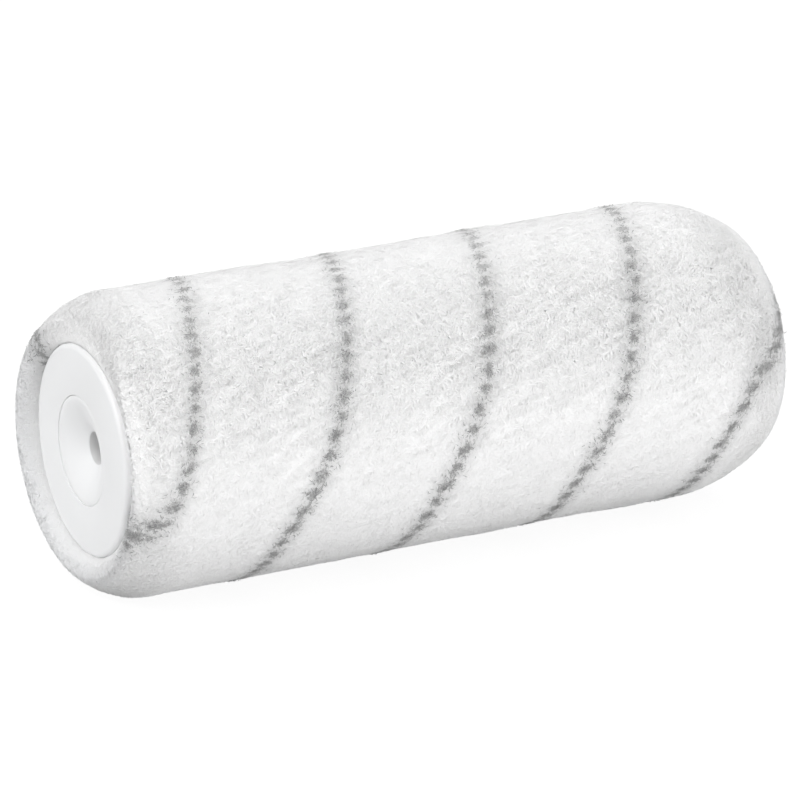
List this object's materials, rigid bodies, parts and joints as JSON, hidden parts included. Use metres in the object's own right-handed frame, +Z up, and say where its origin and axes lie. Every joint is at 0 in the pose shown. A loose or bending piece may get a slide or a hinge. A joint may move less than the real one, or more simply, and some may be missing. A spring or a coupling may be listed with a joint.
{
  "type": "paint roller",
  "caption": "Refill sleeve of a paint roller: white plush pile with grey dotted spiral yarns on a plastic core, with flanged end caps and funnel-shaped bearing bushes.",
  "frame": {"origin": "middle of the roller, on its axis", "axes": "+X along the roller's axis towards the far end cap, +Z up, -Y to the front"},
  "size_m": [0.193, 0.079, 0.079],
  "materials": {
    "white_plastic": "smooth satin moulded polypropylene",
    "guide_plastic": "extruded tube",
    "core_plastic": "extruded tube",
    "backing_cloth": "tight woven backing",
    "pile_fibre": "soft fluffy plush",
    "marker_fibre": "grey tufts"
  },
  "bodies": {
    "hub": {"bearing_bush_near": "white_plastic", "bearing_bush_far": "white_plastic", "guide_tube": "guide_plastic"},
    "sleeve": {"end_cap_near": "white_plastic", "end_cap_far": "white_plastic", "core_tube": "core_plastic", "fabric_backing": "backing_cloth", "pile": "pile_fibre", "marker_yarn_a": "marker_fibre", "marker_yarn_b": "marker_fibre"}
  },
  "joints": [
    {"name": "roller_spin", "type": "hinge", "parent": "hub", "child": "sleeve", "pos_m": [0, 0, 0], "axis": [1, 0, 0], "continuous": true}
  ]
}
